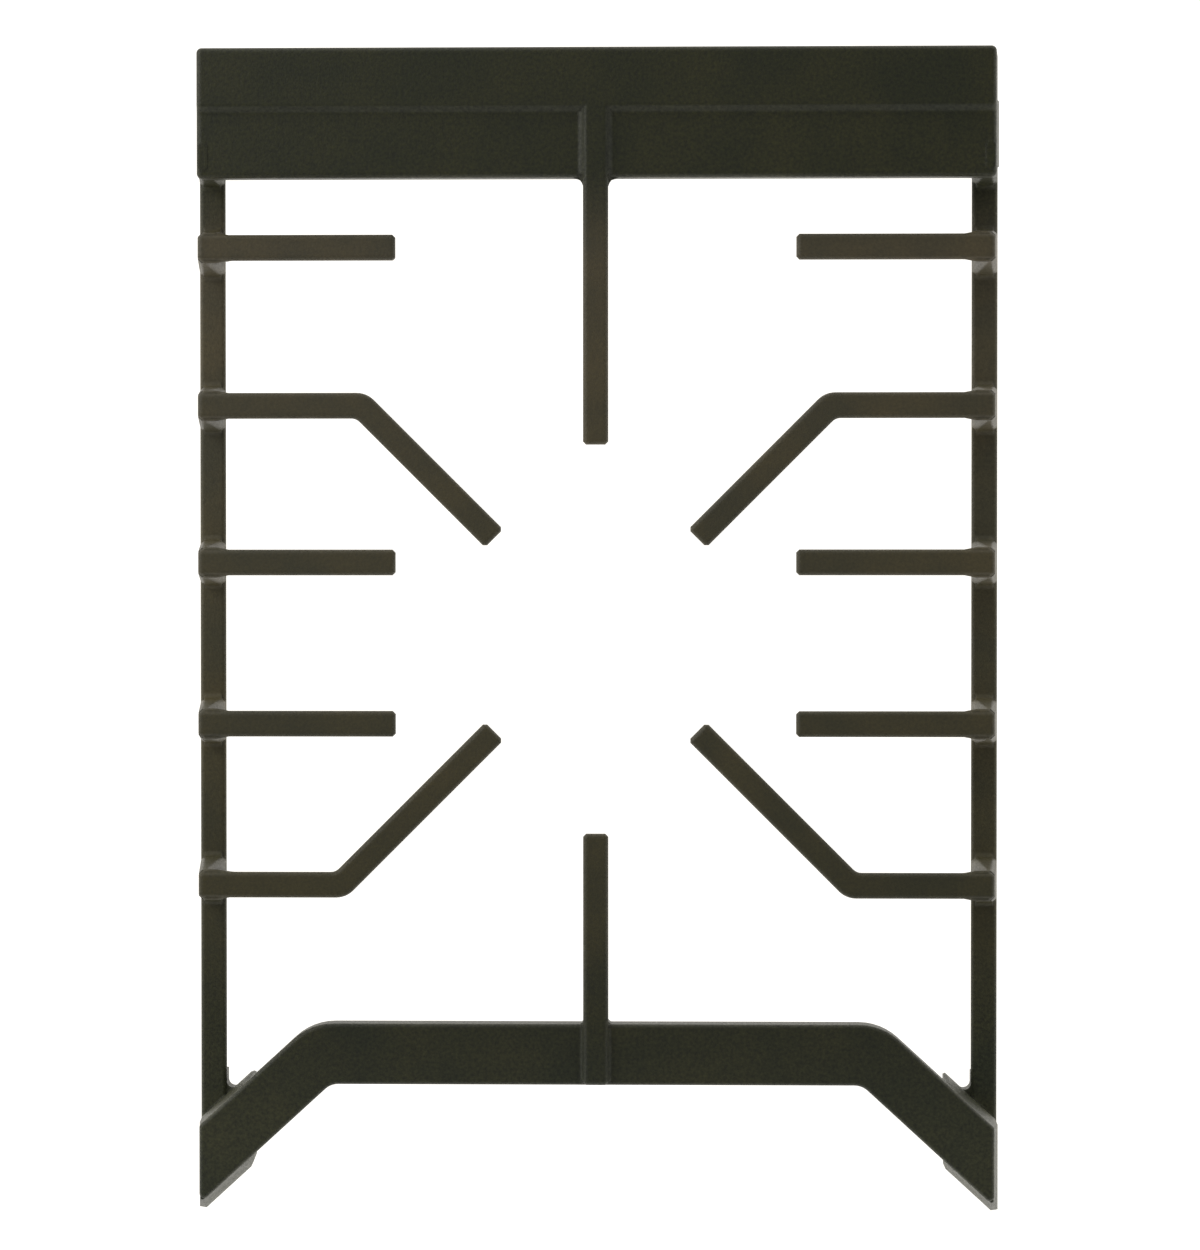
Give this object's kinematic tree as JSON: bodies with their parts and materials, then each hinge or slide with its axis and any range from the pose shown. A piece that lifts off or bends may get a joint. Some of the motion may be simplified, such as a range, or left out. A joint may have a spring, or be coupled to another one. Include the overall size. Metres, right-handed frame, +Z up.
{
  "type": "hob pan support",
  "caption": "Cast iron pan support of a gas hob: a low frame whose rails and bars carry straight and bent fingers around one burner, enamelled matt black.",
  "frame": {"origin": "on the hob surface, midway across the width and along the length, near the middle of the burner", "axes": "+X to the cook's right, +Y away from the cook towards the back bar, +Z up from the hob to the pan"},
  "size_m": [0.292, 0.4209, 0.046],
  "materials": {
    "enamel": "matt black porcelain enamel, finely pebbled, on cast iron"
  },
  "bodies": {
    "root": {"pan_support": "enamel"}
  },
  "joints": []
}
